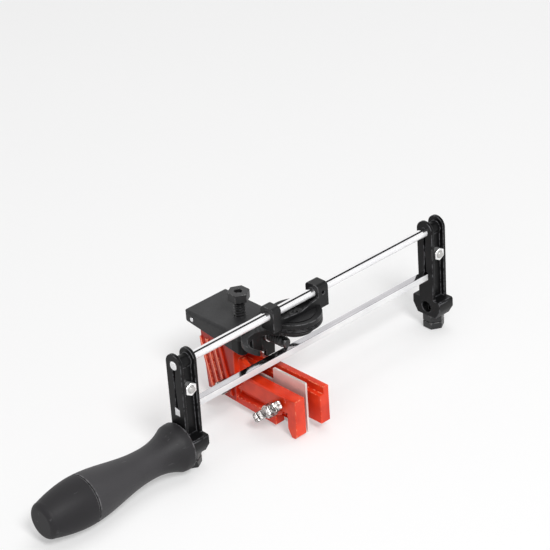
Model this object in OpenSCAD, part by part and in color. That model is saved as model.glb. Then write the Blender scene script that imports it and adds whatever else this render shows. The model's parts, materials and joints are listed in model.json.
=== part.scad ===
// Clamp-on sharpener: saddle clamp, height-adjustable head, swivelling rod guide and file frame.
// X runs along the clamp slot, Y along the rod away from the handle, Z up.
// The origin lies on the slot's top edge, in its middle plane, under the rod.

/* [Clamp slot] */
// Thickness that the closed slot holds
slot_t = 4.5; // [3.8:0.1:5]
// Free height of the tunnel above the slot edge
tunnel_h = 16; // [14:0.5:18]
// Free width of the tunnel
tunnel_w = 11; // [10:0.5:12]

/* [Saddle] */
// Distance from the rod plane to the bridge
bridge_off = 23.5; // [23:0.5:25]
// Length of the bridge along the slot
bridge_l = 31; // [28:0.5:36]
// Thickness of the bridge over the tunnel
bridge_t = 9.5; // [8:0.5:10]
// Depth of both jaws below the slot edge
jaw_depth = 22; // [20:0.5:25]
// Thickness of the wall under the bridge's front
wall_t = 8; // [7:0.1:8.5]
// Thickness of the front jaw at its flange
flange_t = 8.5; // [8.5:0.1:10]
// Height of the front jaw's flange
flange_h = 11; // [9:0.5:12]
// Right end of the front jaw
front_jaw_x = 32; // [30:0.5:34]
// Right end of the back jaw
back_jaw_x = 37; // [33:0.5:40]
// Thickness of the back jaw
back_t = 4.5; // [3.5:0.1:6]
// Rise of the back jaw above the slot edge
back_rise = 3.8; // [2:0.1:4.5]
// Overhang of the bridge behind the back jaw
bridge_over = 8; // [6:0.5:10]
// Length of the block at the end of the front jaw
end_l = 8; // [6:0.5:9]
// Drop of that block below the jaws
end_drop = 6; // [4:0.5:7]
// Number of slanted ribs on the front wall
rib_n = 5; // [3:1:6]
// Width of one rib
rib_w = 2; // [1.2:0.1:3]
// Height of the ribs over the wall
rib_h = 1.4; // [0.8:0.1:1.4]
// Lean of the ribs
rib_lean = 14; // [0:1:20]

/* [Pressure plate] */
// Thickness of the plate
plate_t = 1.5; // [1:0.1:2]
// How far the plate opens
plate_travel = 2.2; // [1.5:0.1:2.5]
// Left end of the raised tab
tab_x = 1; // [0.5:0.5:8]
// Right end of the plate and its tab
plate_x = 30.5; // [29:0.5:31.5]
// Rise of the tab above the slot edge
tab_rise = 8.2; // [6:0.1:8.2]

/* [Wing screws] */
// Thread diameter
wing_d = 6; // [5:0.5:8]
// Place of the left screw along the slot
wing_left_x = -30; // [-34:0.5:-30]
// Place of the right screw along the slot
wing_right_x = 13; // [9:0.5:14]
// Depth of both screws below the slot edge
wing_drop = 11.2; // [11:0.1:12]
// Hub diameter
hub_d = 9; // [8.5:0.1:11]
// Hub length
hub_l = 6; // [4:0.5:8]
// Distance of the open hub from the jaw
hub_out = 1.4; // [1.2:0.1:2.5]
// Width over both wings
wing_w = 25; // [19:0.5:25]
// Radius of a wing's round end
wing_r = 5; // [3.5:0.1:5]
// Thickness of a wing
wing_t = 6; // [3:0.1:7]
// Turn of the left wing
wing_left_turn = 40; // [-90:1:90]
// Turn of the right wing
wing_right_turn = -40; // [-90:1:90]

/* [Head] */
// Height of the head's top face
head_z = 31; // [30.5:0.1:32]
// Thickness of the top
top_t = 2.8; // [2:0.1:3]
// Thickness of the skirts
skirt_t = 2; // [1.6:0.1:3]
// Lowest edge of the skirts, at the right
skirt_z = 16.4; // [16.4:0.1:17.5]
// Rise of the skirts' edge towards the left
skirt_rise = 7.2; // [4:0.1:8]
// Overhang of the head past the bridge's left end
head_over = 12.6; // [11:0.1:16]
// Right face of the head
head_x = -13; // [-14:0.1:-12.5]
// Corner radius of the head
head_r = 3.6; // [3:0.1:6]
// Radius of the top edges
edge_r = 2.2; // [1:0.1:2.5]
// Radius of the round well beside the file
well_r = 12.8; // [12:0.1:13.2]
// Middle of the well along the slot
well_x = 3; // [2.5:0.1:3.5]
// Middle of the well along the rod
well_y = -7.8; // [-8.5:0.1:-7.5]
// Outer radius of the well's rim
rim_r = 16.2; // [16:0.1:16.6]
// Right end of that rim
rim_x1 = 11; // [8:0.5:12]
// Thickness of the shelf that carries the swivel
shelf_t = 4.2; // [4:0.1:4.8]
// Radius of the shelf's round end
shelf_r = 12; // [10:0.5:13]
// Diameter of the cross pin
pin_d = 3; // [2:0.1:4]
// Number of arc grooves on the top
arc_n = 3; // [0:1:5]
// Depth of the arc grooves
arc_d = 0.4; // [0.2:0.1:0.8]

/* [Height screw] */
// Thread diameter
height_d = 8; // [6.5:0.5:9]
// Place along the slot
height_x = -33.5; // [-38:0.5:-30]
// Place across the slot
height_y = 2.2; // [-2:0.1:5]
// Free thread between the head and the screw's hexagon
height_free = 11.8; // [8:0.1:15]
// Width over flats of the hexagon
height_af = 13; // [12:0.5:15]
// Height of the hexagon
height_hex = 6; // [5:0.5:8]

/* [Stop] */
// Diameter of the stop screw
stop_d = 7.4; // [6.5:0.1:7.4]
// Place of the stop screw along the rod
stop_y = 8.5; // [8.2:0.1:9]
// Height of the stop screw
stop_z = 21.1; // [20.9:0.1:21.4]
// Reach of its tip past the rod plane
stop_reach = 3; // [1:0.5:5]
// How far the stop screw runs in
stop_run = 3.5; // [2:0.5:4]

/* [Swivel] */
// Pivot along the rod
pivot_y = 19; // [18:0.1:20]
// Diameter of the pivot screw
pivot_d = 6; // [5:0.5:7]
// Radius of both discs
disc_r = 17.6; // [17:0.1:18.5]
// Thickness of the lower disc
disc_t = 4; // [3.6:0.1:4.2]
// Thickness of the upper disc
guide_t = 3.4; // [3.2:0.1:3.8]
// Reach of the eyes from the pivot
eye_reach = 20.2; // [19:0.1:22]
// Width of the eyes
eye_w = 11.8; // [11.5:0.1:13]
// Corner radius of the eyes' tops
eye_r = 3; // [1:0.1:5]
// Length of the front eye
front_eye_l = 7; // [6:0.5:9]
// Length of the back eye
back_eye_l = 9; // [7:0.5:10]
// Thickness of the webs between the eyes
web_t = 1.8; // [1.2:0.1:1.9]

/* [Rod and file] */
// Height of the rod's axis
rod_z = 46; // [45.5:0.5:48]
// Rod diameter
rod_d = 6; // [5:0.1:6.5]
// Outer face of the near arm
near_y = -83; // [-86:0.5:-80]
// Free length between the arms
span = 208.5; // [196:0.5:220]
// Drop of the file's middle below the rod
file_drop = 33; // [32:0.1:33.2]
// Width of the file
file_w = 4.2; // [3:0.1:4.4]
// Height of the file
file_h = 5.5; // [4:0.1:5.6]

/* [Arms] */
// Thickness of an arm along the rod
arm_t = 13.4; // [12:0.1:15]
// Width of an arm's flanges at the rod
arm_w = 13.6; // [12:0.1:14]
// How much narrower they get towards the foot, on each side
arm_taper = 0.4; // [0:0.1:1.6]
// Thickness of a flange
rim_t = 2.4; // [1.6:0.1:3]
// Thickness of the web between the flanges
core_t = 7; // [6.6:0.1:7.4]
// Mean width of the clamp slit
slit_w = 1.2; // [0.8:0.1:1.6]
// Drop of the handle's axis below the rod
foot_drop = 57; // [56:0.1:60]
// Width of the foot
foot_w = 24.4; // [21:0.1:25]
// Height of the foot
foot_h = 13.2; // [12.5:0.1:15]
// Chamfer of the foot's lower corners
foot_r = 4; // [2:0.5:4]

/* [Fasteners] */
// Thread of the arms' clamp screws
clamp_d = 5; // [4:0.5:5]
// Width over flats of their nuts
clamp_af = 8; // [7.5:0.1:8.5]
// Drop of the clamp screws below the rod
clamp_drop = 16.8; // [15:0.1:18]
// Thread of the foot screws
foot_d = 6; // [5:0.5:7]
// Width over flats of the foot screws' heads
foot_af = 13; // [12:0.5:15]
// Height of the foot screws' heads
foot_hex = 5; // [4:0.1:6]
// Height of the lock nuts over those heads
lock_h = 4.8; // [4:0.1:6]

/* [Handle] */
// Diameter of the stud and its sockets
stud_d = 8; // [6:0.5:8]
// Length of the stud inside the handle
stud_l = 42; // [30:1:60]
// Length of the grip up to the groove
grip_l = 77.5; // [70:0.5:84]
// Length of the end cap
cap_l = 32.5; // [30:0.5:46]
// Radius at the arm
collar_r = 15.9; // [13:0.1:17]
// Radius of the neck
neck_r = 10.3; // [8.5:0.1:11]
// Largest radius
belly_r = 16.3; // [14:0.1:18]
// Length of the straight collar
collar_l = 6; // [4:0.5:8]
// Distance of the belly from the arm
belly_at = 80; // [76:0.5:84]
// Distance of the neck from the arm
neck_at = 29; // [28:0.5:36]

/* [Fits] */
// Radial clearance of pins, rods and threads
fit = 0.05; // [0.03:0.01:0.08]
// Clearance between castings that slide past each other
gap = 0.4; // [0.3:0.05:0.5]

/* [Hidden] */
$fn = 48;

// Saddle: faces across the slot, from front to back
plate_front = -slot_t / 2 - plate_t;
jaw_in = plate_front - plate_travel - gap;
jaw_front = jaw_in - flange_t;
wall_front = jaw_in - wall_t;
back_in = tunnel_w / 2;
back_out = back_in + back_t;
bridge_back = back_out + bridge_over;
bridge_x1 = -bridge_off;
bridge_x0 = bridge_x1 - bridge_l;
bridge_z = tunnel_h + bridge_t;
lip_h = 3;
channel_d = 4.5;
bearing_top = -1.5;
rib_top = skirt_z - 1;
rib_base = -jaw_depth + lip_h;
boss_d = wing_d + 6;
notch_z = -wing_drop - boss_d / 2 - 0.5;
keel_drop = 3.6;
flange_slant = 11;
wall_lean = 4;

// Head: outer faces, ceiling over the bridge
head_x0 = bridge_x0 - head_over;
head_y0 = wall_front - gap - skirt_t;
head_y1 = bridge_back + gap + skirt_t;
ceiling = head_z - top_t;
shelf_z = head_z - shelf_t;
pin_x = head_x0 + 8;
pin_z = skirt_z + skirt_rise + 2.6;
rim_x = well_x - 3.4;
rim_y = well_y + 2;
dog_d = 6;
dog_l = 5;

// Stop: the body that holds the screw, the room where the screw shows, the ring at its root
body_x1 = -5;
body_y0 = -9.5;
body_y1 = stop_y + stop_d / 2 + 3;
room_x = -14;
room_y = -3;
apron_t = 3;
apron_y = 2.4;
ring_t = 1.4;
ring_d = stop_d + 1.4;

// Swivel: stack of the discs, the lower one on a narrower foot
foot_in = 2.6;
foot_up = 1.2;
disc_z = head_z + disc_t;
guide_z = disc_z + 0.3;
guide_top = guide_z + guide_t;
cbore_d = pivot_d + 3;
cbore_h = 2.5;
nut_h = 3.5;
web_z = rod_z - 3;

// File frame
far_y = near_y + arm_t + span;
file_z = rod_z - file_drop;
foot_z = rod_z - foot_drop;
clamp_z = rod_z - clamp_drop;
sleeve_r = rod_d / 2 + 1.3;
ear_rise = 0.9;
foot_bottom = foot_z - foot_h / 2;
foot_top = foot_z + foot_h / 2;
lock_gap = 0.5;
clamp_nut_t = 4;
clamp_head_t = 3;
clamp_head_d = 8;
groove = 0.4;
end_r = 4;
end_taper = 55;

// Shared shapes
module block(lo, hi) {
    translate(lo) cube(hi - lo);
}

module round_rect(lo, hi, r) {
    translate([lo.x + r, lo.y]) square([hi.x - lo.x - 2 * r, hi.y - lo.y]);
    translate([lo.x, lo.y + r]) square([hi.x - lo.x, hi.y - lo.y - 2 * r]);
    for (x = [lo.x + r, hi.x - r], y = [lo.y + r, hi.y - r])
        translate([x, y]) circle(r);
}

// A flat (x, z) outline drawn out along Y
module along_y(y0, y1) {
    translate([0, y1, 0]) rotate([90, 0, 0]) linear_extrude(y1 - y0) children();
}

// A flat (y, z) outline drawn out along X
module along_x(x0, x1) {
    translate([x0, 0, 0]) rotate([90, 0, 90]) linear_extrude(x1 - x0) children();
}

module rod_x(d, x0, x1, y, z) {
    translate([x0, y, z]) rotate([0, 90, 0]) cylinder(d = d, h = x1 - x0);
}

module rod_y(d, y0, y1, x, z) {
    translate([x, y0, z]) rotate([-90, 0, 0]) cylinder(d = d, h = y1 - y0);
}

module rod_up(d, z0, z1, x, y) {
    translate([x, y, z0]) cylinder(d = d, h = z1 - z0);
}

module hexagon(af) {
    circle(d = af / cos(30), $fn = 6);
}

// Saddle
module rib_panel() {
    pitch = bridge_l / rib_n;
    intersection() {
        along_y(wall_front - rib_h, wall_front + 1)
            polygon([[bridge_x0, rib_top], [bridge_x1 - 0.9, rib_top], [bridge_x1 - 0.9, rib_base],
                     [bridge_x0 + wall_lean, rib_base]]);
        union()
            for (i = [0:rib_n])
                translate([bridge_x0 + i * pitch - 4, wall_front - rib_h, -jaw_depth])
                    rotate([0, -rib_lean, 0])
                        translate([0, 0, -10]) cube([rib_w, rib_h + 1, 70]);
    }
}

module front_jaw() {
    inner = jaw_front + channel_d;
    // Flange, channel and lip as one profile, the flange's left end cut off slanted
    difference() {
        along_x(bridge_x1 - 1, front_jaw_x - 1)
            polygon([[jaw_in, 0], [jaw_front + 1, 0], [jaw_front, -1], [jaw_front, -flange_h],
                     [inner, -flange_h - 2], [inner, rib_base + 2], [jaw_front + 1.2, rib_base],
                     [jaw_front + 1.2, -jaw_depth + 0.8], [jaw_front + 2, -jaw_depth], [jaw_in, -jaw_depth]]);
        along_y(jaw_front - 1, inner)
            polygon([[bridge_x1 - 2, rib_base + 2], [bridge_x1 + 2, rib_base + 2], [bridge_x1 + 2, -flange_h],
                     [bridge_x1 + 2 + flange_slant, 1], [bridge_x1 - 2, 1]]);
    }
    // Gusset that rises to the bridge
    along_y(inner, jaw_in)
        polygon([[bridge_x1 - 1, -1], [bridge_x1 - 1, tab_rise], [bridge_x1 + 2, tab_rise],
                 [bridge_x1 + 2 + flange_slant, 0], [bridge_x1 + 2 + flange_slant, -1]]);
    // Lip under the ribbed wall
    block([bridge_x0 + wall_lean, jaw_front + 1.2, -jaw_depth], [bridge_x1, jaw_in, rib_base]);
    // Keel that deepens towards the notch
    along_y(jaw_front + 1.2, jaw_in)
        polygon([[bridge_x0 + wall_lean, 1 - jaw_depth], [wing_right_x, 1 - jaw_depth],
                 [wing_right_x, -jaw_depth - keel_drop], [bridge_x0 + wall_lean, -jaw_depth]]);
    // End block, its left lower corner cut off
    along_y(jaw_front, jaw_in)
        polygon([[front_jaw_x - end_l, 0], [front_jaw_x, 0], [front_jaw_x, -jaw_depth - end_drop + 2],
                 [front_jaw_x - 2, -jaw_depth - end_drop], [front_jaw_x - end_l + 3, -jaw_depth - end_drop],
                 [front_jaw_x - end_l, -jaw_depth]]);
    for (x = [wing_left_x, wing_right_x])
        rod_y(boss_d, jaw_front + 0.8, jaw_in, x, -wing_drop);
}

module saddle_base() color("orangered")
    difference() {
        union() {
            block([bridge_x0, wall_front, tunnel_h], [bridge_x1, bridge_back, bridge_z]);
            along_y(wall_front, jaw_in)
                polygon([[bridge_x0, bridge_z], [bridge_x1, bridge_z], [bridge_x1, -jaw_depth],
                         [bridge_x0 + wall_lean, -jaw_depth], [bridge_x0, rib_top]]);
            block([bridge_x0, back_in, -jaw_depth], [bridge_x1, back_out, bridge_z]);
            block([bridge_x0, back_in, -jaw_depth], [back_jaw_x, back_out, back_rise]);
            block([bridge_x0, slot_t / 2, -jaw_depth], [back_jaw_x, back_in + 1, bearing_top]);
            front_jaw();
            rib_panel();
        }
        for (x = [wing_left_x, wing_right_x])
            rod_y(wing_d + 2 * fit, jaw_front - 1, jaw_in + 1, x, -wing_drop);
        // Seat of the height screw's point
        rod_up(dog_d + 2 * fit, bridge_z - dog_l, bridge_z + 1, height_x, height_y);
        // Window beside the right screw, and the notch under it
        block([wing_right_x + boss_d / 2, jaw_front - 1, notch_z + 1.5],
              [front_jaw_x - end_l - 0.5, jaw_in + 1, -flange_h - 2.5]);
        block([wing_right_x - 1, jaw_front - 1, -jaw_depth - end_drop],
              [front_jaw_x - end_l - 0.5, jaw_in + 1, notch_z]);
    }

module pressure_plate() color("silver")
    along_y(plate_front, plate_front + plate_t)
        union() {
            translate([bridge_x0 + 2, -jaw_depth]) square([plate_x - bridge_x0 - 2, jaw_depth - 1]);
            round_rect([tab_x, -jaw_depth - end_drop], [plate_x, tab_rise], 1);
        }

// A thumb screw whose tip bears on the plate
module wing_screw(x, turn) {
    hub_y = jaw_front - hub_out;
    rod_y(wing_d, hub_y - 1, plate_front - 0.1, x, -wing_drop);
    rod_y(hub_d, hub_y - hub_l, hub_y, x, -wing_drop);
    reach = wing_w / 2 - wing_r;
    translate([x, hub_y - wing_r, -wing_drop]) rotate([0, turn, 0])
        translate([0, 0, -wing_t / 2]) linear_extrude(wing_t) {
            for (side = [-1, 1])
                translate([side * reach, 0]) circle(wing_r);
            translate([-reach, -wing_r / 2]) square([2 * reach, wing_r]);
        }
}

module wing_screw_left() color("lightgray") wing_screw(wing_left_x, wing_left_turn);

module wing_screw_right() color("lightgray") wing_screw(wing_right_x, wing_right_turn);

// Head
module head_shell() {
    intersection() {
        translate([0, 0, skirt_z]) linear_extrude(head_z - skirt_z)
            round_rect([head_x0, head_y0], [head_x, head_y1], head_r);
        along_y(head_y0, head_y1) {
            polygon([[head_x0, skirt_z + skirt_rise], [head_x, skirt_z],
                     [head_x, head_z - edge_r], [head_x0, head_z - edge_r]]);
            round_rect([head_x0, head_z - 3 * edge_r], [head_x, head_z], edge_r);
        }
        along_x(head_x0, head_x) {
            translate([head_y0, skirt_z]) square([head_y1 - head_y0, head_z - skirt_z - edge_r]);
            round_rect([head_y0, head_z - 3 * edge_r], [head_y1, head_z], edge_r);
        }
    }
}

// Plate under the swivel and round the well, and the body that holds the stop
module shelf() {
    translate([0, 0, shelf_z]) linear_extrude(shelf_t) {
        polygon([[bridge_x1 + gap, well_y], [0, well_y], [0, pivot_y + shelf_r],
                 [bridge_x1 + gap, head_y1 - head_r]]);
        translate([0, pivot_y]) circle(shelf_r);
        intersection() {
            translate([rim_x, rim_y]) circle(rim_r);
            translate([head_x, rim_y - rim_r]) square([rim_x1 - head_x, rim_r]);
        }
    }
    block([bridge_x1 + gap, body_y0, skirt_z], [body_x1, body_y1, shelf_z + 1]);
    // Apron below the stop screw, stepped to clear the tunnel's line
    along_x(room_x - apron_t, room_x)
        polygon([[apron_y, skirt_z + 1], [apron_y, skirt_z - 5.6], [back_in, skirt_z - 5.6],
                 [back_in, back_rise + 2.2], [body_y1 - 2.3, back_rise + 2.2], [body_y1 - 2.3, skirt_z + 1]]);
}

// Grooves on the top, round the swivel's pivot
module top_arcs() {
    for (i = [1:arc_n]) {
        r = disc_r + 3 * i;
        translate([0, pivot_y, head_z - arc_d])
            difference() {
                cylinder(r = r + 0.5, h = 1);
                translate([0, 0, -1]) cylinder(r = r - 0.5, h = 3);
            }
    }
}

module head_housing() color([0.16, 0.16, 0.17])
    difference() {
        union() {
            difference() {
                head_shell();
                // Room for the bridge, and the hollow left of it
                block([bridge_x0 - gap, wall_front - gap, 0],
                      [bridge_x1 + gap, bridge_back + gap, ceiling]);
                block([head_x0 + skirt_t, wall_front - gap, 0],
                      [bridge_x0 - gap - skirt_t, bridge_back + gap, ceiling]);
            }
            shelf();
        }
        // The well, and the room under the shelf where the stop screw shows
        rod_up(2 * well_r, 0, head_z + 1, well_x, well_y);
        block([room_x, room_y, 0], [0, body_y1 + 1, shelf_z]);
        if (arc_n > 0)
            top_arcs();
        rod_up(height_d + 2 * fit, ceiling - 1, head_z + 1, height_x, height_y);
        rod_up(pivot_d + 2 * fit, shelf_z - 1, head_z + 1, 0, pivot_y);
        rod_y(pin_d + 2 * fit, head_y0 - 1, head_y1 + 1, pin_x, pin_z);
        rod_x(stop_d + 2 * fit, bridge_x1, room_x + 1, stop_y, stop_z);
    }

module cross_pin() color("silver")
    rod_y(pin_d, head_y0 - 0.4, head_y1 + 0.4, pin_x, pin_z);

module height_screw() color([0.1, 0.1, 0.1]) {
    hex_z = head_z + height_free;
    rod_up(dog_d, bridge_z - dog_l + 0.2, bridge_z + 1, height_x, height_y);
    rod_up(height_d, bridge_z + 0.3, hex_z + 1, height_x, height_y);
    translate([height_x, height_y, hex_z])
        difference() {
            linear_extrude(height_hex) hexagon(height_af);
            translate([0, 0, height_hex / 2]) linear_extrude(height_hex) hexagon(height_d / 2 + 1);
        }
}

// Stop
module stop_screw() color([0.1, 0.1, 0.1]) {
    tip = 1.6;
    rod_x(stop_d, bridge_x1 + 2 * gap + stop_run, stop_reach - tip, stop_y, stop_z);
    translate([stop_reach - tip, stop_y, stop_z]) rotate([0, 90, 0])
        cylinder(d1 = stop_d, d2 = stop_d - 2.4, h = tip);
}

module stop_ring() color("silver")
    difference() {
        rod_x(ring_d, room_x, room_x + ring_t, stop_y, stop_z);
        rod_x(stop_d + 2 * fit, room_x - 1, room_x + ring_t + 1, stop_y, stop_z);
    }

// Swivel
module swivel_base() color([0.14, 0.14, 0.15])
    translate([0, pivot_y, head_z])
        difference() {
            union() {
                cylinder(r = disc_r - foot_in, h = disc_t);
                translate([0, 0, foot_up]) cylinder(r = disc_r, h = disc_t - foot_up);
            }
            translate([0, 0, -1]) cylinder(d = pivot_d + 2 * fit, h = disc_t + 2);
            // Groove round the rim
            translate([0, 0, disc_t - 1.2])
                difference() {
                    cylinder(r = disc_r + 1, h = 0.6);
                    translate([0, 0, -1]) cylinder(r = disc_r - 0.6, h = 3);
                }
        }

module pivot_screw() color("dimgray") {
    rod_up(pivot_d, shelf_z - nut_h - 1.5, guide_top - cbore_h + 0.5, 0, pivot_y);
    difference() {
        rod_up(cbore_d - 0.6, guide_top - cbore_h + 0.1, guide_top - 0.1, 0, pivot_y);
        translate([0, pivot_y, guide_top - 1.4]) linear_extrude(3) hexagon(pivot_d / 2 + 1);
    }
}

module pivot_nut() color("dimgray")
    translate([0, pivot_y, shelf_z - nut_h])
        linear_extrude(nut_h)
            difference() {
                hexagon(pivot_d + 4);
                circle(d = pivot_d + 2 * fit);
            }

module eye(y, l) {
    along_y(y - l / 2, y + l / 2) {
        round_rect([-eye_w / 2, guide_z + guide_t / 2], [eye_w / 2, rod_z + eye_w / 2], eye_r);
        translate([-eye_w / 2, guide_z]) square([eye_w, guide_t + eye_r]);
    }
}

module rod_guide() color([0.14, 0.14, 0.15])
    difference() {
        union() {
            translate([0, pivot_y, guide_z]) cylinder(r = disc_r, h = guide_t);
            eye(pivot_y - eye_reach, front_eye_l);
            eye(pivot_y + eye_reach, back_eye_l);
            for (side = [-1, 1])
                translate([side * (eye_w - web_t) / 2, 0, 0])
                    along_x(-web_t / 2, web_t / 2)
                        polygon([[pivot_y - eye_reach, guide_top - 1], [pivot_y - eye_reach, web_z],
                                 [pivot_y, guide_top + 2], [pivot_y + eye_reach, web_z + 2],
                                 [pivot_y + eye_reach, guide_top - 1]]);
        }
        rod_y(rod_d + 2 * fit, pivot_y - 2 * eye_reach, pivot_y + 2 * eye_reach, 0, rod_z);
        rod_up(pivot_d + 2 * fit, guide_z - 1, guide_top + 1, 0, pivot_y);
        rod_up(cbore_d, guide_top - cbore_h, rod_z, 0, pivot_y);
        // Groove inside the disc's rim
        translate([0, pivot_y, guide_top - 0.6])
            difference() {
                cylinder(r = disc_r - 3, h = 0.61);
                translate([0, 0, -1]) cylinder(r = disc_r - 4.4, h = 3);
                translate([-eye_w / 2, -disc_r, -1]) cube([eye_w, 2 * disc_r, 3]);
            }
        // Set-screw hole in the back eye
        rod_x(2.5, rod_d / 2, eye_w, pivot_y + eye_reach, rod_z);
    }

// Rod and file
module guide_rod() color("gainsboro")
    rod_y(rod_d, near_y, far_y + arm_t, 0, rod_z);

module file() color("gainsboro")
    block([-file_w / 2, near_y, file_z - file_h / 2], [file_w / 2, far_y + arm_t, file_z + file_h / 2]);

// Outline of an arm's flange: round over the rod, narrower towards the foot
module flange_outline() {
    low = arm_w / 2 - arm_taper;
    ear_z = rod_z + ear_rise;
    translate([0, ear_z]) circle(arm_w / 2);
    polygon([[-arm_w / 2, ear_z], [arm_w / 2, ear_z], [low, foot_z], [-low, foot_z]]);
}

module foot_outline() {
    polygon([[-foot_w / 2, foot_z], [-foot_w / 2, foot_top - 1], [1 - foot_w / 2, foot_top],
             [foot_w / 2 - 1, foot_top], [foot_w / 2, foot_top - 1], [foot_w / 2, foot_z],
             [foot_w / 2 - foot_r, foot_bottom], [foot_r - foot_w / 2, foot_bottom]]);
}

// An arm whose outer face lies at y: two flanges, a web with a sleeve for the rod, a foot
module arm(y) {
    middle = y + arm_t / 2;
    difference() {
        union() {
            for (face = [y, y + arm_t - rim_t])
                along_y(face, face + rim_t) flange_outline();
            along_y(y, y + arm_t) {
                translate([0, rod_z]) circle(sleeve_r);
                translate([-core_t / 2, foot_z]) square([core_t, foot_drop]);
                foot_outline();
            }
        }
        rod_y(rod_d + 2 * fit, y - 1, y + arm_t + 1, 0, rod_z);
        // Clamp slit, pinched at the clamp screw
        along_y(y - 1, y + arm_t + 1)
            polygon([[-slit_w, rod_z], [-slit_w / 4, clamp_z], [-slit_w, file_z],
                     [slit_w, file_z], [slit_w / 4, clamp_z], [slit_w, rod_z]]);
        block([-file_w / 2 - fit, y - 1, file_z - file_h / 2 - fit],
              [file_w / 2 + fit, y + arm_t + 1, file_z + file_h / 2 + fit]);
        rod_x(clamp_d + 2 * fit, -arm_w, arm_w, middle, clamp_z);
        rod_y(stud_d + 2 * fit, y - 1, y + arm_t + 1, 0, foot_z);
        rod_up(foot_d + 2 * fit, foot_bottom - 1, foot_z, 0, middle);
    }
}

module near_arm() color([0.12, 0.12, 0.13]) arm(near_y);

module far_arm() color([0.12, 0.12, 0.13]) arm(far_y);

module arm_screws() color("lightgray")
    for (y = [near_y, far_y] + [arm_t / 2, arm_t / 2]) {
        rod_x(clamp_d, -core_t / 2 - 1, core_t / 2 + clamp_nut_t + 1, y, clamp_z);
        rod_x(clamp_head_d, -core_t / 2 - clamp_head_t, -core_t / 2, y, clamp_z);
    }

module arm_nuts() color("white")
    for (y = [near_y, far_y] + [arm_t / 2, arm_t / 2])
        translate([core_t / 2, y, clamp_z]) rotate([0, 90, 0])
            linear_extrude(clamp_nut_t)
                difference() {
                    hexagon(clamp_af);
                    circle(d = clamp_d + 2 * fit);
                }

module foot_screws() color([0.1, 0.1, 0.1])
    for (y = [near_y, far_y] + [arm_t / 2, arm_t / 2]) {
        head_top = foot_bottom - lock_h - lock_gap;
        rod_up(foot_d, head_top - 1, foot_z - stud_d / 2 - 0.2, 0, y);
        translate([0, y, head_top - foot_hex]) linear_extrude(foot_hex) hexagon(foot_af);
    }

module foot_nuts() color([0.2, 0.2, 0.2])
    for (y = [near_y, far_y] + [arm_t / 2, arm_t / 2])
        translate([0, y, foot_bottom - lock_h])
            linear_extrude(lock_h)
                difference() {
                    hexagon(foot_af);
                    circle(d = foot_d + 2 * fit);
                }

// Handle: its radius at a distance s from the arm
function handle_r(s) =
    s < collar_l ? collar_r
    : s < neck_at ? neck_r + (collar_r - neck_r) * pow((neck_at - s) / (neck_at - collar_l), 2.3)
    : s < belly_at ? neck_r + (belly_r - neck_r) * pow(sin(90 * (s - neck_at) / (belly_at - neck_at)), 2)
    : belly_r * (1 - pow((s - belly_at) / end_taper, 1.8));

module on_handle_axis() {
    translate([0, near_y, foot_z]) rotate([90, 0, 0]) children();
}

module handle_stud() color("silver")
    rod_y(stud_d, near_y - stud_l, near_y + arm_t - 1, 0, foot_z);

module handle_grip() color([0.22, 0.22, 0.23])
    on_handle_axis()
        difference() {
            rotate_extrude()
                polygon([[0, 0], [collar_r - 1.2, 0],
                         for (i = [0:28]) let (s = 1.2 + (grip_l - groove - 1.2) * i / 28) [handle_r(s), s],
                         [0, grip_l - groove]]);
            translate([0, 0, -1]) cylinder(d = stud_d + 2 * fit, h = stud_l + 1.5);
        }

module handle_cap() color([0.2, 0.2, 0.21]) {
    handle_l = grip_l + cap_l;
    flat_r = handle_r(handle_l - end_r) - end_r;
    on_handle_axis()
        rotate_extrude() {
            polygon([[0, grip_l - groove], [handle_r(grip_l) - 0.9, grip_l - groove],
                     [handle_r(grip_l) - 0.9, grip_l + groove],
                     for (i = [0:14])
                         let (s = grip_l + groove + (cap_l - end_r - groove) * i / 14) [handle_r(s), s],
                     [flat_r, handle_l], [0, handle_l]]);
            translate([flat_r, handle_l - end_r])
                intersection() {
                    circle(end_r);
                    square(end_r);
                }
        }
}

saddle_base();
pressure_plate();
wing_screw_left();
wing_screw_right();
head_housing();
cross_pin();
height_screw();
stop_screw();
stop_ring();
swivel_base();
pivot_screw();
pivot_nut();
rod_guide();
guide_rod();
file();
near_arm();
far_arm();
arm_screws();
arm_nuts();
foot_screws();
foot_nuts();
handle_stud();
handle_grip();
handle_cap();
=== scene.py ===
import json
from math import ceil, cos, pi, radians, sin

import bmesh
import bpy
from mathutils import Matrix, Vector
from mathutils.bvhtree import BVHTree
from mathutils.geometry import intersect_point_line


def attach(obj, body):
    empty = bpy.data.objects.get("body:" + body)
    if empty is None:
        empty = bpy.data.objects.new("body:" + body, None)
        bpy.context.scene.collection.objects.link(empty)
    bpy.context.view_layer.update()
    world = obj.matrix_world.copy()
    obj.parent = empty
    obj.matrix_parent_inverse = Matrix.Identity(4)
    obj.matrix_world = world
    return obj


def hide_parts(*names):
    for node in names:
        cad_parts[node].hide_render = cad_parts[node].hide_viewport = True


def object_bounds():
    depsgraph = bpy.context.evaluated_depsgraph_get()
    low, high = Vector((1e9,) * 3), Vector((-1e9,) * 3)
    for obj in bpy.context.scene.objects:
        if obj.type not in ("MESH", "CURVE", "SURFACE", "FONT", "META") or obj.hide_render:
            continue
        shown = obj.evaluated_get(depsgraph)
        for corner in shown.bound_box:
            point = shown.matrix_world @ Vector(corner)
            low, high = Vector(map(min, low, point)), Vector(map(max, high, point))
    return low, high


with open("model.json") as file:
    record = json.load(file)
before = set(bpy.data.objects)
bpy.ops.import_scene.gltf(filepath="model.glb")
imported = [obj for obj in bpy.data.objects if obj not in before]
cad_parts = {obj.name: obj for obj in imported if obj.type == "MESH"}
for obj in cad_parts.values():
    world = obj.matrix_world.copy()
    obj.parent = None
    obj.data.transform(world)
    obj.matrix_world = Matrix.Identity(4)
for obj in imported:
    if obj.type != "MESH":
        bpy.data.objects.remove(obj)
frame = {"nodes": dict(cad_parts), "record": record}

cad_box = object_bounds()
MM = 0.001

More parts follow.
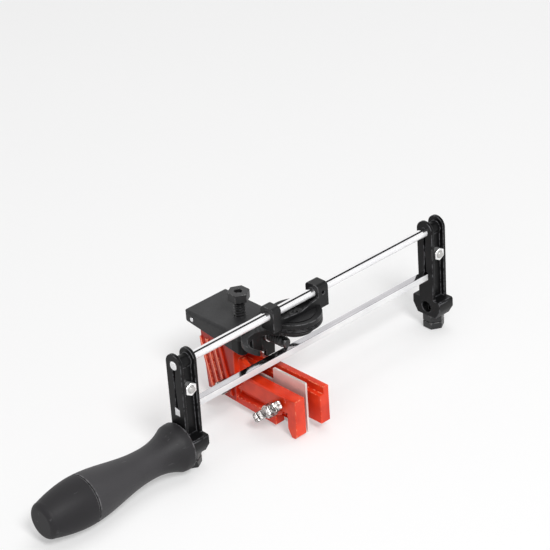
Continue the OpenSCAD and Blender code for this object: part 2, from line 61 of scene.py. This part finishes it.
# Places on the part that the finishes follow, in millimetres
RIBS_X1 = -24.0
RIB_CREST_Y, WALL_Y = -15.75, -14.35
WELL_X, WELL_Y = 3, -7.8
WELL_WALL_R2 = (174, 166)  # squares of the radii between which the painted shade of its wall sets in
WELL_TOP_Z, SHELF_UNDER_Z = 30.8, 27.2
STOP_BODY_X = -22.2
# Along the handle, from where its plastic starts to turn paler to where it is palest, away from the collar
PALER_Y0, PALER_Y1 = -88, -116
ROD_MID_Z = 46
FILE_TOP_Z, FILE_TOP_SLOPE = 15.15, 1 / 6

# Lobes of the wing screws: distance from the axis, radius, thickness, step of the serration
LOBE_REACH, LOBE_R, LOBE_T, LOBE_STEP = 7.5 * MM, 5 * MM, 6 * MM, radians(15)

# Turn of both wings as shown, the turn that brings the left one there, and how far that one stands out
WING_TURN, LEFT_TURN, LEFT_OUT = -40, -80, 0.4 * MM


# Shader values and materials

class Value:
    """A shader value: arithmetic on it adds Math nodes."""

    def __init__(self, finish, socket):
        self.finish = finish
        self.socket = socket

    def join(self, operation, first, second):
        return self.finish.node("ShaderNodeMath", {"operation": operation}, {0: first, 1: second})

    def __add__(self, other):
        return self.join("ADD", self, other)

    def __radd__(self, other):
        return self.join("ADD", other, self)

    def __sub__(self, other):
        return self.join("SUBTRACT", self, other)

    def __rsub__(self, other):
        return self.join("SUBTRACT", other, self)

    def __mul__(self, other):
        return self.join("MULTIPLY", self, other)

    def __rmul__(self, other):
        return self.join("MULTIPLY", other, self)


class Finish:
    """A material round one Principled shader."""

    def __init__(self, name, **constants):
        self.material = bpy.data.materials.new(name)
        self.material.use_nodes = True
        self.tree = self.material.node_tree
        self.shader = self.tree.nodes["Principled BSDF"]
        for socket, value in constants.items():
            self.shader.inputs[socket.replace("_", " ")].default_value = value

    def put(self, socket, value):
        if isinstance(value, Value):
            self.tree.links.new(value.socket, socket)
        else:
            socket.default_value = value

    def node(self, kind, settings=None, sockets=None, out=0):
        made = self.tree.nodes.new(kind)
        for key, value in (settings or {}).items():
            setattr(made, key, value)
        for key, value in (sockets or {}).items():
            self.put(made.inputs[key], value)
        return Value(self, made.outputs[out])

    def set(self, **links):
        for socket, value in links.items():
            self.put(self.shader.inputs[socket.replace("_", " ")], value)
        return self

    def place(self, stretch=(1, 1, 1), turn=(0, 0, 0)):
        spot = self.node("ShaderNodeTexCoord", out="Object")
        return self.node("ShaderNodeMapping", None, {"Vector": spot, "Scale": stretch, "Rotation": turn})

    def noise(self, scale, detail=4.0, rough=0.55, stretch=(1, 1, 1)):
        return self.node("ShaderNodeTexNoise", None, {
            "Vector": self.place(stretch), "Scale": scale, "Detail": detail, "Roughness": rough})

    def cells(self, scale):
        return self.node("ShaderNodeTexVoronoi", None, {"Vector": self.place(), "Scale": scale})

    def lines(self, scale, turn):
        return self.node("ShaderNodeTexWave", {"wave_type": "BANDS", "bands_direction": "X"}, {
            "Vector": self.place(turn=turn), "Scale": scale}, out=1)

    def window(self, value, low, high):
        return self.node("ShaderNodeMapRange", {"clamp": True, "interpolation_type": "SMOOTHSTEP"}, {
            "Value": value, "From Min": low, "From Max": high})

    def mix(self, share, first, second):
        return self.node("ShaderNodeMix", {"data_type": "RGBA"}, {0: share, 6: first, 7: second}, out=2)

    def edge(self):
        """1 on the rounded edges of a piece, 0 elsewhere."""
        return self.node("ShaderNodeAttribute", {"attribute_name": "edge"}, out="Fac")

    def at(self, axis):
        """One coordinate on the piece, in millimetres."""
        spot = self.node("ShaderNodeTexCoord", out="Object")
        return self.node("ShaderNodeSeparateXYZ", None, {0: spot}, out=axis) * 1000

    def bump(self, height, strength, distance):
        return self.node("ShaderNodeBump", None, {
            "Height": height, "Strength": strength, "Distance": distance * MM})


def rgb(r, g, b):
    """A screen colour, 0 to 255, as the linear colour that a shader takes."""
    def linear(c):
        c /= 255
        return c / 12.92 if c <= 0.04045 else ((c + 0.055) / 1.055) ** 2.4
    return (linear(r), linear(g), linear(b), 1.0)


def red_paint():
    """Gloss paint, pale on edges as wear and painted highlight, with painted shade in the grooves between the
    ribs of the front wall and painted highlights on the rib crests.
    """
    f = Finish("red_paint", Coat_Roughness=0.1, IOR=1.5, Specular_IOR_Level=0.28)
    cloud = f.noise(60, 3)
    peel = f.noise(900, 2, 0.6)
    # Pale edges: partly wear, partly painted highlight
    worn_and_highlit = f.window(f.edge() * f.noise(420, 4), 0.46, 0.6)
    body = f.mix(f.window(cloud, 0.3, 0.7), rgb(238, 66, 30), rgb(212, 46, 16))
    panel = f.window(f.at(0), RIBS_X1, RIBS_X1 - 0.7)
    # Painted shade: darker red in the grooves between the ribs
    groove_shade = (panel * f.window(f.at(1), WALL_Y - 0.65, WALL_Y - 0.25)
               * f.window(f.at(1), WALL_Y + 0.55, WALL_Y + 0.25))
    # Painted highlight: pale pink on the rounded crests of the ribs
    crest_highlight = panel * f.edge() * f.window(f.at(1), RIB_CREST_Y + 0.55, RIB_CREST_Y + 0.35)
    body = f.mix(groove_shade * 0.7, body, rgb(160, 14, 4))
    body = f.mix(crest_highlight * 0.85, body, rgb(255, 178, 158))
    return f.set(
        Base_Color=f.mix(worn_and_highlit * 0.7, body, rgb(250, 150, 116)),
        Roughness=0.24 + 0.16 * cloud,
        Coat_Weight=0.16 - 0.12 * worn_and_highlit,
        Normal=f.bump(peel, 0.3, 0.07)).material


def moulded(name, dark, light, rough, gloss, grain, edge_highlight, painted_shade=None):
    """Black moulded plastic: fine spark-eroded grain; its edges are smoother where rubbed and paler, partly
    wear and partly painted highlight; where a mask is given, painted shade near black.
    """
    f = Finish(name, IOR=1.46, Specular_IOR_Level=gloss)
    cloud = f.noise(45, 4)
    pits = f.noise(grain, 3, 0.7)
    # Edges: smoother from wear, paler partly as wear and partly as painted highlight
    rubbed_and_highlit = f.window(f.edge() * f.noise(300, 4), 0.4, 0.58)
    body = f.mix(f.window(0.55 * cloud + 0.45 * pits, 0.36, 0.64), dark, light)
    # Painted shade: near black where the mask is 1
    if painted_shade:
        body = f.mix(painted_shade(f), body, rgb(10, 10, 10))
    return f.set(
        Base_Color=f.mix(rubbed_and_highlit * 0.6, body, edge_highlight),
        Roughness=rough + 0.16 * (pits - 0.5) - 0.1 * rubbed_and_highlit,
        Normal=f.bump(pits, 0.5, 0.06)).material


def well_shade(f):
    """Mask of painted shade: 1 on the inner wall of the head's well and on the body under its shelf, 0
    elsewhere.
    """
    aside, along, height = f.at(0) - WELL_X, f.at(1) - WELL_Y, f.at(2)
    wall = (f.window(aside * aside + along * along, *WELL_WALL_R2)
            * f.window(height, WELL_TOP_Z, WELL_TOP_Z - 0.8))
    body = (f.window(f.at(0), STOP_BODY_X, STOP_BODY_X + 0.8)
            * f.window(height, SHELF_UNDER_Z, SHELF_UNDER_Z - 0.8))
    return f.window(wall + body, 0, 1)


def handle_plastic(name, dark, light, gloss):
    """Matt plastic of the handle, paler away from the collar end, and paler on its edges as painted highlight
    and wear.
    """
    f = Finish(name, IOR=1.46, Specular_IOR_Level=gloss)
    cloud = f.noise(28, 4)
    grain = f.noise(1500, 3, 0.75)
    scuffs = f.window(f.noise(240, 5, 0.7, (1, 0.12, 1)), 0.62, 0.72)
    # Paler from Y -88 towards -116 and beyond, away from the collar
    paler_from_collar = f.window(f.at(1), PALER_Y0, PALER_Y1)
    # Paler edges: painted highlight on the seam and collar rim, partly wear
    worn_and_highlit = f.edge() * f.window(f.noise(300, 4), 0.3, 0.6)
    body = f.mix(f.window(0.4 * cloud + 0.3 * grain + 0.3 * paler_from_collar, 0.3, 0.72), dark, light)
    return f.set(
        Base_Color=f.mix(f.window(0.3 * scuffs + 0.6 * worn_and_highlit, 0, 1), body, rgb(122, 121, 123)),
        Roughness=0.46 + 0.16 * grain - 0.08 * scuffs,
        Normal=f.bump(grain, 0.5, 0.07)).material


def metal(name, colour, tint, rough, streak, along, shine=1.0):
    """Bright steel with fine streaks along one axis."""
    f = Finish(name, Metallic=shine)
    stretch = [1.0, 1.0, 1.0]
    stretch[along] = 0.03
    lines = f.noise(streak, 4, 0.6, tuple(stretch))
    cloud = f.noise(50, 3)
    return f.set(
        Base_Color=f.mix(f.window(cloud, 0.3, 0.7), colour, tint),
        Roughness=rough + 0.14 * (lines - 0.4),
        Normal=f.bump(lines, 0.05, 0.02)).material


def ground_rod():
    """A white-bright ground rod, with its crown rubbed to a mirror where the eyes ride."""
    f = Finish("rod_steel")
    lines = f.noise(900, 4, 0.6, (1, 0.03, 1))
    cloud = f.noise(50, 3)
    crown = f.window(f.at(2), ROD_MID_Z + 1.1, ROD_MID_Z + 2.1)
    return f.set(
        Base_Color=f.mix(f.window(cloud, 0.3, 0.7), rgb(250, 250, 251), rgb(242, 242, 244)),
        Metallic=0.15 + 0.85 * crown,
        Roughness=0.26 - 0.18 * crown + 0.1 * (lines - 0.4),
        Normal=f.bump(lines, 0.08, 0.02)).material


def zinc():
    """Bright plated zinc with a fine spangle."""
    f = Finish("zinc_plate", Metallic=1.0)
    spangle = f.cells(700)
    cloud = f.noise(220, 5)
    grey = f.window(cloud, 0.45, 0.72)
    return f.set(
        Base_Color=f.mix(grey, rgb(250, 250, 250), rgb(206, 206, 205)),
        Roughness=0.22 + 0.22 * cloud + 0.06 * spangle,
        Normal=f.bump(cloud, 0.2, 0.06)).material


def cast_zinc():
    """Rough die-cast zinc, darker in random patches."""
    f = Finish("cast_zinc", Metallic=1.0)
    cloud = f.noise(420, 5, 0.7)
    return f.set(
        Base_Color=f.mix(f.window(cloud, 0.38, 0.58), rgb(226, 222, 219), rgb(92, 88, 87)),
        Roughness=0.2 + 0.2 * cloud,
        Normal=f.bump(cloud, 0.4, 0.12)).material


def blackened():
    """Blackened steel, grey on edges and thread crests: partly wear, partly painted highlight."""
    f = Finish("black_steel", IOR=1.6)
    cloud = f.noise(160, 5)
    # Grey edges and crests: partly wear, partly painted highlight
    worn_and_highlit = f.window(f.edge() * f.noise(520, 4), 0.48, 0.6)
    return f.set(
        Base_Color=f.mix(worn_and_highlit * 0.6, f.mix(cloud, rgb(24, 24, 25), rgb(40, 40, 41)), rgb(120, 120, 120)),
        Metallic=0.35 + 0.5 * worn_and_highlit,
        Roughness=0.3 + 0.2 * cloud,
        Normal=f.bump(cloud, 0.15, 0.05)).material


def cut_steel():
    """The file's steel: a polished top, greyer as painted shade, and satin sides with a fine slanted cut."""
    f = Finish("file_steel", Metallic=1.0)
    cut = f.lines(380, (0, 0, radians(62)))
    cloud = f.noise(40, 3)
    streak = f.noise(500, 4, 0.6, (1, 0.02, 1))
    tone = f.window(0.5 * cloud + 0.5 * streak, 0.36, 0.62)
    # Painted shade: the top face is given a greyer colour than the sides; it is also polished
    top = f.window(f.at(2) + f.at(0) * FILE_TOP_SLOPE, FILE_TOP_Z, FILE_TOP_Z + 0.15)
    side = f.mix(tone, rgb(250, 250, 250), rgb(232, 232, 234))
    return f.set(
        Base_Color=f.mix(top, side, f.mix(tone, rgb(214, 212, 215), rgb(196, 195, 198))),
        Metallic=0.25 + 0.75 * top,
        Roughness=0.4 - 0.34 * top + 0.06 * streak,
        Normal=f.bump(cut, 0.1, 0.02)).material


RED = red_paint()
# The head's plastic carries painted shade inside its well and under its shelf
HEAD_BLACK = moulded("head_plastic", rgb(36, 36, 37), rgb(56, 56, 57), 0.46, 0.25, 1300, rgb(104, 104, 106),
                     well_shade)
GUIDE_BLACK = moulded("guide_plastic", rgb(22, 22, 23), rgb(38, 38, 39), 0.36, 0.22, 1200, rgb(112, 112, 114))
DISC_BLACK = moulded("disc_plastic", rgb(16, 16, 17), rgb(26, 26, 27), 0.34, 0.2, 1200, rgb(84, 84, 86))
ARM_BLACK = moulded("arm_plastic", rgb(12, 12, 13), rgb(22, 22, 23), 0.34, 0.16, 1100, rgb(104, 104, 107))
GRIP = handle_plastic("grip_plastic", rgb(34, 33, 35), rgb(60, 59, 61), 0.33)
# The cap is a darker copy of the grip's plastic, as painted shade
SHADED_CAP = handle_plastic("shaded_cap_plastic", rgb(28, 27, 29), rgb(40, 39, 41), 0.24)
ROD_STEEL = ground_rod()
SHEET_STEEL = metal("sheet_steel", rgb(248, 244, 240), rgb(232, 227, 222), 0.3, 700, 0, 0.5)
SCREW_STEEL = metal("screw_steel", rgb(208, 207, 205), rgb(180, 179, 177), 0.34, 900, 0)
PIN_STEEL = metal("pin_steel", rgb(236, 236, 236), rgb(220, 220, 222), 0.2, 800, 1)
ZINC = zinc()
CAST_ZINC = cast_zinc()
BLACK_STEEL = blackened()
FILE_STEEL = cut_steel()


# Pieces

SMOOTH_BELOW = radians(38)
ROUND_STEPS = 3
BODY_OF = {n: body for body, nodes in frame["record"]["behaviour"]["bodies"].items() for n in nodes}


def settle(bm, name, finish):
    """The object of a finished bmesh, smooth across all but its sharper edges."""
    for face in bm.faces:
        face.smooth = True
    for e in bm.edges:
        e.smooth = len(e.link_faces) == 2 and e.calc_face_angle(pi) < SMOOTH_BELOW
    mesh = bpy.data.meshes.new(name)
    bm.to_mesh(mesh)
    bm.free()
    mesh.materials.append(finish)
    made = bpy.data.objects.new(name, mesh)
    bpy.context.scene.collection.objects.link(made)
    weigh = made.modifiers.new("even_shading", "WEIGHTED_NORMAL")
    weigh.keep_sharp = True
    return made


def gap_to(point, e):
    """Distance of a point from an edge."""
    a, b = e.verts[0].co, e.verts[1].co
    foot, share = intersect_point_line(point, a, b)
    return (point - (a if share < 0 else b if share > 1 else foot)).length


def rounded(source, width, sharp):
    """A copy with rounded edges; where a round would fold over, the edge stays crisp."""
    source.edges.index_update()
    skin = BVHTree.FromBMesh(source)
    crisp = [e for e in source.edges if len(e.link_faces) == 2 and e.calc_face_angle(0) > radians(sharp)]

    def folded(face):
        _, normal, _, distance = skin.find_nearest(face.calc_center_median())
        turned_over = face.normal.dot(normal) < 0 and face.calc_area() > (0.2 * width) ** 2
        return distance > 0.7 * width or turned_over

    while True:
        bm = source.copy()
        bm.edges.ensure_lookup_table()
        mark = bm.faces.layers.float.new("edge")
        made = bmesh.ops.bevel(bm, geom=[bm.edges[e.index] for e in crisp], offset=width,
                               offset_type="OFFSET", segments=ROUND_STEPS, profile=0.5, affect="EDGES",
                               material=-1, clamp_overlap=False)
        for face in made["faces"]:
            face[mark] = 1.0
        bm.normal_update()
        folds = [face.calc_center_median() for face in bm.faces if folded(face)]
        kept = [e for e in crisp if all(gap_to(fold, e) > 1.5 * width for fold in folds)]
        if len(kept) == len(crisp):
            return bm
        crisp = kept
        bm.free()


def islands(bm):
    """The vertices of each separate solid."""
    left = set(bm.verts)
    while left:
        group, front = set(), [left.pop()]
        while front:
            v = front.pop()
            group.add(v)
            for e in v.link_edges:
                other = e.other_vert(v)
                if other in left:
                    left.remove(other)
                    front.append(other)
        yield list(group)


def middle(verts):
    """Centre of the box round some vertices."""
    return Vector([(min(v.co[i] for v in verts) + max(v.co[i] for v in verts)) / 2 for i in range(3)])


class Thread:
    """A thread on each shaft of a node: the axis' number, the diameter and the pitch in millimetres."""

    # Depth, half the foot and half the crest of the ridge, in pitches
    DEPTH, HALF_FOOT, HALF_CREST = 0.54, 0.49, 0.09
    STEPS_PER_TURN = 28

    def __init__(self, axis, diameter, pitch):
        self.axis = Vector([float(i == axis) for i in range(3)])
        self.side = Vector([float(i == (axis + 1) % 3) for i in range(3)])
        self.crest = diameter / 2 * MM
        self.pitch = pitch * MM
        self.core = self.crest - self.DEPTH * self.pitch
        self.runs = []

    def turn_down(self, bm):
        """Narrows the shafts to the core and keeps where they run."""
        for verts in islands(bm):
            centre = middle(verts)
            shaft = []
            for v in verts:
                out = v.co - centre
                out -= self.axis * out.dot(self.axis)
                if abs(out.length - self.crest) < 0.02 * MM:
                    shaft.append((v, out))
            along = [v.co.dot(self.axis) for v, _ in shaft]
            self.runs.append((centre - self.axis * centre.dot(self.axis), min(along), max(along)))
            for v, out in shaft:
                v.co -= out * (1 - self.core / self.crest)

    def cut(self, bm):
        """Winds one ridge round each core and marks its crest on the edge layer, which the finishes paint
        paler as wear and highlight.
        """
        mark = bm.faces.layers.float["edge"]
        for centre, low, high in self.runs:
            rise = high - low - self.pitch
            steps = ceil(rise / self.pitch * self.STEPS_PER_TURN)
            root = self.core - 0.1 * MM
            ridge = [(root, -self.HALF_FOOT), (self.crest, -self.HALF_CREST),
                     (self.crest, self.HALF_CREST), (root, self.HALF_FOOT)]
            start = [bm.verts.new(centre + self.side * r + self.axis * (low + (0.5 + h) * self.pitch))
                     for r, h in ridge]
            loop = [bm.edges.new((start[i - 1], start[i])) for i in range(4)]
            made = bmesh.ops.spin(bm, geom=start + loop, cent=centre, axis=self.axis, steps=steps,
                                  dvec=self.axis * (rise / steps), angle=2 * pi * rise / self.pitch)
            last = [g for g in made["geom_last"] if isinstance(g, bmesh.types.BMEdge)]
            bmesh.ops.edgeloop_fill(bm, edges=loop)
            bmesh.ops.edgeloop_fill(bm, edges=last)
            for face in bm.faces:
                out = face.calc_center_median() - centre
                out -= self.axis * out.dot(self.axis)
                if abs(out.length - self.crest) < 0.03 * MM:
                    face[mark] = 1.0


def prism(bm, foot, crest):
    """A ridge between the four corners of its foot and the two ends of its crest."""
    a, b, c, d = [bm.verts.new(p) for p in foot]
    e, f = [bm.verts.new(p) for p in crest]
    for corners in ((a, d, c, b), (a, b, e), (c, d, f), (b, c, f, e), (d, a, e, f)):
        bm.faces.new(corners)


def serrate(bm):
    """Ridges across the rims of a wing screw's lobes, apart from the side that nears the jaw."""
    spin = Matrix.Rotation(radians(WING_TURN), 3, "Y")
    centre = middle(bm.verts)
    centre.y = min(v.co.y for v in bm.verts) + LOBE_R

    def on_rim(lobe, angle, out, across):
        r = LOBE_R + out * MM
        return centre + spin @ Vector((lobe * (LOBE_REACH + r * cos(angle)), r * sin(angle), across * LOBE_T))

    half_foot, half_crest = 0.44, 0.38  # along a ridge, in thicknesses of the lobe
    sunk, high = -0.15, 0.5  # foot and crest from the rim, in millimetres
    for lobe in (-1, 1):
        for k in range(-7, 5):
            a = k * LOBE_STEP
            foot = [on_rim(lobe, a + side * 0.48 * LOBE_STEP, sunk, end * half_foot)
                    for side, end in ((-1, -1), (1, -1), (1, 1), (-1, 1))]
            prism(bm, foot, [on_rim(lobe, a, high, -half_crest), on_rim(lobe, a, high, half_crest)])


def soften_corners(bm, width):
    """Rounds the corners of a sheet's outline, which run along Y."""
    corners = [e for e in bm.edges if len(e.link_faces) == 2 and e.calc_face_angle(0) > radians(60)
               and abs((e.verts[0].co - e.verts[1].co).normalized().y) > 0.99]
    bmesh.ops.bevel(bm, geom=corners, offset=width, offset_type="OFFSET", segments=6, profile=0.5,
                    affect="EDGES", material=-1)


def slant_top(bm, drop):
    """Lowers the +X edge of the file's top face."""
    high = max(v.co.z for v in bm.verts)
    for v in bm.verts:
        if v.co.x > 0 and v.co.z > high - 0.1 * MM:
            v.co.z -= drop


def turn_left_wing(bm):
    """Turns the left wing screw about its shaft, and moves it out to clear the ribs as it closes."""
    turn = Matrix.Rotation(radians(LEFT_TURN), 3, "Y")
    bmesh.ops.rotate(bm, cent=middle(bm.verts), matrix=turn, verts=bm.verts)
    bmesh.ops.translate(bm, vec=(0, -LEFT_OUT, 0), verts=bm.verts)


def dress(node, finish, round_mm, sharp=32, thread=None, serrated=False, prepare=None):
    """A copy of a CAD node with rounded edges and its threads, which stands for it."""
    bare = bmesh.new()
    bare.from_mesh(frame["nodes"][node].data)
    bmesh.ops.remove_doubles(bare, verts=bare.verts, dist=0.002 * MM)
    bmesh.ops.dissolve_limit(bare, angle_limit=radians(0.4), verts=bare.verts, edges=bare.edges)
    if prepare:
        prepare(bare)
    if thread:
        thread.turn_down(bare)
    bm = rounded(bare, round_mm * MM, sharp)
    bare.free()
    if thread:
        thread.cut(bm)
    if serrated:
        serrate(bm)
    bmesh.ops.recalc_face_normals(bm, faces=bm.faces)
    made = settle(bm, node + "_shown", finish)
    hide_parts(node)
    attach(made, BODY_OF[node])


dress("saddle_base", RED, 0.5)
dress("head_housing", HEAD_BLACK, 0.4)
dress("swivel_base", DISC_BLACK, 0.3)
dress("rod_guide", GUIDE_BLACK, 0.4)
dress("near_arm", ARM_BLACK, 0.45)
dress("far_arm", ARM_BLACK, 0.45)
dress("pressure_plate", SHEET_STEEL, 0.2, prepare=lambda bm: soften_corners(bm, 1.8 * MM))
dress("wing_screw_left", CAST_ZINC, 0.4, thread=Thread(1, 6, 1), serrated=True, prepare=turn_left_wing)
dress("wing_screw_right", CAST_ZINC, 0.4, thread=Thread(1, 6, 1), serrated=True)
dress("cross_pin", PIN_STEEL, 0.25)
dress("height_screw", BLACK_STEEL, 0.4, thread=Thread(2, 8, 2))
dress("stop_screw", BLACK_STEEL, 0.3, thread=Thread(0, 7.4, 2))
dress("stop_ring", ZINC, 0.1)
dress("pivot_screw", BLACK_STEEL, 0.2, thread=Thread(2, 6, 1))
dress("pivot_nut", ZINC, 0.3)
dress("guide_rod", ROD_STEEL, 0.3)
dress("file", FILE_STEEL, 0.25, prepare=lambda bm: slant_top(bm, 0.7 * MM))
dress("arm_screws", SCREW_STEEL, 0.4, thread=Thread(0, 5, 0.8))
dress("arm_nuts", ZINC, 0.35)
dress("foot_screws", BLACK_STEEL, 0.5, thread=Thread(2, 6, 1))
dress("foot_nuts", BLACK_STEEL, 0.4)
dress("handle_stud", PIN_STEEL, 0.3, thread=Thread(1, 8, 1.25))
dress("handle_grip", GRIP, 0.6, sharp=40)
dress("handle_cap", SHADED_CAP, 0.4, sharp=40)


# Camera, at the photograph's viewing angle

AZIMUTH, ELEVATION, ROLL = radians(48.216), radians(29.209), radians(-3.92)
FOCAL_PX, FRAME_PX, SENSOR = 2265.97, 550, 36.0
DISTANCE = 1433.9 * MM
CENTRE, SHIFT_RIGHT, SHIFT_UP = Vector((0, -5.8, 4.9)), 3.48, 61.836  # millimetres

back = Vector((sin(AZIMUTH) * cos(ELEVATION), -cos(AZIMUTH) * cos(ELEVATION), sin(ELEVATION)))
level_right = Vector((cos(AZIMUTH), sin(AZIMUTH), 0))
level_up = back.cross(level_right)
right = cos(ROLL) * level_right + sin(ROLL) * level_up
up = cos(ROLL) * level_up - sin(ROLL) * level_right
aim = (SHIFT_RIGHT * right + SHIFT_UP * up + CENTRE) * MM

lens = bpy.data.cameras.new("camera")
lens.sensor_width = SENSOR
lens.lens = FOCAL_PX / FRAME_PX * SENSOR
lens.clip_end = 50
camera = bpy.data.objects.new("camera", lens)
bpy.context.scene.collection.objects.link(camera)
stance = Matrix((right, up, back)).transposed().to_4x4()
camera.matrix_world = Matrix.Translation(aim + back * DISTANCE) @ stance
bpy.context.scene.camera = camera


# Floor, light and background

FLOOR_HALF, FLOOR_GAP = 6.0, 0.3 * MM
FLOOR_WHITE = 0.4  # share of plain white in what is seen of the floor
FILL_STRENGTH = 0.3


def floor():
    """A pale floor just under the part, lifted towards white where it is seen."""
    bm = bmesh.new()
    bmesh.ops.create_grid(bm, x_segments=1, y_segments=1, size=FLOOR_HALF)
    bmesh.ops.translate(bm, verts=bm.verts, vec=(0, 0, cad_box[0][2] - FLOOR_GAP))
    f = Finish("pale_floor", Roughness=0.85, Specular_IOR_Level=0.1)
    f.set(Base_Color=f.mix(f.noise(3, 2), (0.93, 0.93, 0.93, 1), (0.95, 0.95, 0.95, 1)))
    seen = f.node("ShaderNodeLightPath", out="Is Camera Ray")
    for ray in ("Is Glossy Ray", "Is Transmission Ray"):
        seen = seen.join("MAXIMUM", seen, f.node("ShaderNodeLightPath", out=ray))
    white = f.node("ShaderNodeEmission", None, {"Color": (1, 1, 1, 1), "Strength": 1.0})
    lit = Value(f, f.shader.outputs[0])
    pale = f.node("ShaderNodeMixShader", None, {0: seen * FLOOR_WHITE, 1: lit, 2: white})
    f.put(f.tree.nodes["Material Output"].inputs["Surface"], pale)
    made = settle(bm, "floor", f.material)


def lamp(name, place, size, watts):
    """A soft lamp that faces the origin."""
    data = bpy.data.lights.new(name, "AREA")
    data.shape = "RECTANGLE"
    data.size, data.size_y = size
    data.energy = watts
    made = bpy.data.objects.new(name, data)
    bpy.context.scene.collection.objects.link(made)
    made.location = place
    made.rotation_euler = (-Vector(place)).to_track_quat("-Z", "Y").to_euler()


def surroundings():
    """A soft grey fill on the object, and plain white wherever the surroundings themselves are seen."""
    world = bpy.data.worlds.new("studio")
    bpy.context.scene.world = world
    world.use_nodes = True
    tree = world.node_tree
    tree.nodes.clear()
    path = tree.nodes.new("ShaderNodeLightPath")
    seen = path.outputs["Is Camera Ray"]
    for ray in ("Is Glossy Ray", "Is Transmission Ray"):
        higher = tree.nodes.new("ShaderNodeMath")
        higher.operation = "MAXIMUM"
        tree.links.new(seen, higher.inputs[0])
        tree.links.new(path.outputs[ray], higher.inputs[1])
        seen = higher.outputs[0]
    fill = tree.nodes.new("ShaderNodeBackground")
    fill.inputs["Strength"].default_value = FILL_STRENGTH
    white = tree.nodes.new("ShaderNodeBackground")
    white.inputs["Color"].default_value = (1, 1, 1, 1)
    either = tree.nodes.new("ShaderNodeMixShader")
    tree.links.new(seen, either.inputs[0])
    tree.links.new(fill.outputs[0], either.inputs[1])
    tree.links.new(white.outputs[0], either.inputs[2])
    output = tree.nodes.new("ShaderNodeOutputWorld")
    tree.links.new(either.outputs[0], output.inputs[0])


def dark_card(low, high):
    """A black strip that only reflections show: the dark line along the bright rod."""
    bm = bmesh.new()
    bmesh.ops.create_grid(bm, x_segments=1, y_segments=1, size=0.5)
    bmesh.ops.scale(bm, verts=bm.verts, vec=(high[0] - low[0], high[1] - low[1], 1))
    bmesh.ops.translate(bm, verts=bm.verts, vec=[(a + b) / 2 for a, b in zip(low, high)])
    f = Finish("dark_card", Roughness=0.9, Specular_IOR_Level=0.0)
    f.set(Base_Color=f.mix(f.noise(3, 2), (0.01, 0.01, 0.01, 1), (0.02, 0.02, 0.02, 1)))
    made = settle(bm, "dark_card", f.material)
    made.visible_camera = False
    made.visible_diffuse = False
    made.visible_shadow = False


floor()
dark_card((-0.26, -0.3, 0.65), (0.26, 1.3, 0.65))
surroundings()
lamp("key", (1.9, -0.7, 2.2), (0.8, 0.8), 55)
lamp("top", (-0.2, 0.9, 3.2), (2.4, 2.4), 38)
lamp("fill", (0.8, -2.3, 1.3), (1.8, 1.8), 8)

bpy.context.scene.view_settings.view_transform = "Standard"
